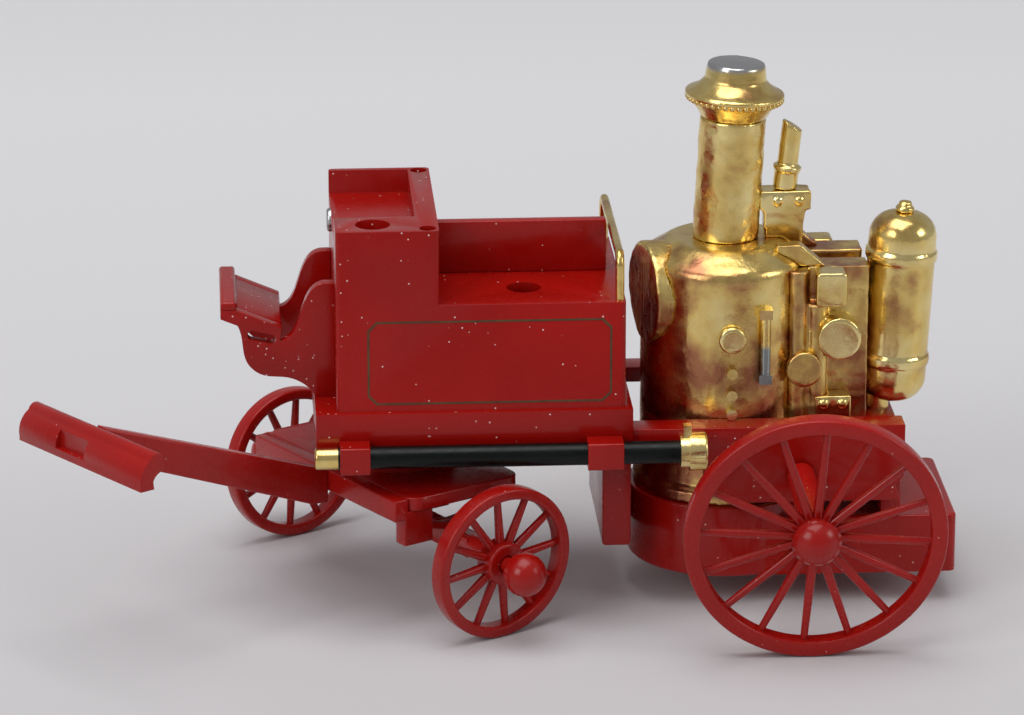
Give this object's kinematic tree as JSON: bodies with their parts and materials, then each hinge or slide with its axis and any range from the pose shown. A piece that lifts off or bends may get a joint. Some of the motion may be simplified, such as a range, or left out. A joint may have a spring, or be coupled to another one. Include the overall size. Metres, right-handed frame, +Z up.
{
  "type": "toy horse-drawn steam fire engine",
  "caption": "Small die-cast horse-drawn steam fire engine with a plated vertical boiler and pump, spoked wheels, steering fore-carriage and draught pole.",
  "frame": {"origin": "on the flat bottom of the underframe, straight below the rear axle", "axes": "+X towards the rear, +Y to the right of the vehicle, +Z up; the wheels stand on the ground 3.3 mm below the origin"},
  "size_m": [0.0945, 0.0565, 0.055],
  "materials": {
    "red_paint": "gloss",
    "red_plastic": "gloss",
    "plated_gold": "bright metallic gold plating",
    "hose_black": "satin",
    "bare_steel": "satin"
  },
  "bodies": {
    "chassis": {"air_vessel": "plated_gold", "ash_pan": "red_paint", "body_shell": "red_paint", "boiler_barrel": "plated_gold", "boiler_boss": "plated_gold", "chassis_floor": "red_paint", "chimney": "plated_gold", "chimney_cap": "plated_gold", "delivery_bend": "plated_gold", "engine_frame": "plated_gold", "exhaust_pipe": "plated_gold", "firehole_door": "plated_gold", "footboard": "red_paint", "footboard_bracket_left": "red_paint", "footboard_bracket_right": "red_paint", "front_hanger": "red_paint", "front_rivet": "bare_steel", "gauge_glass": "plated_gold", "hand_rail": "plated_gold", "hose_clips": "red_paint", "hose_coupling_front": "plated_gold", "hose_coupling_rear": "plated_gold", "kingpin": "bare_steel", "pump_barrel_left": "plated_gold", "pump_barrel_right": "plated_gold", "pump_bedplate": "red_paint", "rear_axle_balls": "red_plastic", "rear_axle_left": "red_plastic", "rear_axle_right": "red_plastic", "rear_crossmember": "red_paint", "rear_platform": "red_paint", "seat_partition": "red_paint", "side_frame_left": "red_paint", "side_frame_right": "red_paint", "steam_chest_left": "plated_gold", "steam_chest_right": "plated_gold", "steam_pipes": "plated_gold", "suction_branches": "plated_gold", "suction_hose": "hose_black", "try_cocks": "plated_gold", "upper_turntable": "red_paint", "valve_block": "plated_gold", "valve_boxes": "plated_gold", "vessel_finial": "plated_gold"},
    "fore_carriage": {"fore_plate": "red_plastic", "lower_turntable": "red_plastic", "splinter_bar": "red_plastic", "front_axle": "red_plastic", "fore_spring_left": "red_plastic", "fore_spring_right": "red_plastic", "axle_bolster": "red_plastic", "draught_pole": "red_plastic", "pole_yoke": "red_plastic", "front_axle_balls": "red_plastic"},
    "front_wheel_left": {"front_wheel_left": "red_plastic"},
    "front_wheel_right": {"front_wheel_right": "red_plastic"},
    "rear_wheel_left": {"rear_wheel_left": "red_plastic"},
    "rear_wheel_right": {"rear_wheel_right": "red_plastic"}
  },
  "joints": [
    {"name": "steer", "type": "hinge", "parent": "chassis", "child": "fore_carriage", "pos_m": [-0.0405, 0, 0.0109], "axis": [0, 0, 1], "range_deg": [-77, 13]},
    {"name": "rear_left_spin", "type": "hinge", "parent": "chassis", "child": "rear_wheel_left", "pos_m": [0, -0.0249, 0.0098], "axis": [0, -0.9903, -0.1392], "continuous": true},
    {"name": "rear_right_spin", "type": "hinge", "parent": "chassis", "child": "rear_wheel_right", "pos_m": [0, 0.0249, 0.0098], "axis": [0, 0.9903, -0.1392], "continuous": true},
    {"name": "front_left_spin", "type": "hinge", "parent": "fore_carriage", "child": "front_wheel_left", "pos_m": [-0.03049, -0.01603, 0.00464], "axis": [0.5292, -0.8469, -0.0523], "continuous": true},
    {"name": "front_right_spin", "type": "hinge", "parent": "fore_carriage", "child": "front_wheel_right", "pos_m": [-0.05051, 0.01603, 0.00464], "axis": [-0.5292, 0.8469, -0.0523], "continuous": true}
  ]
}
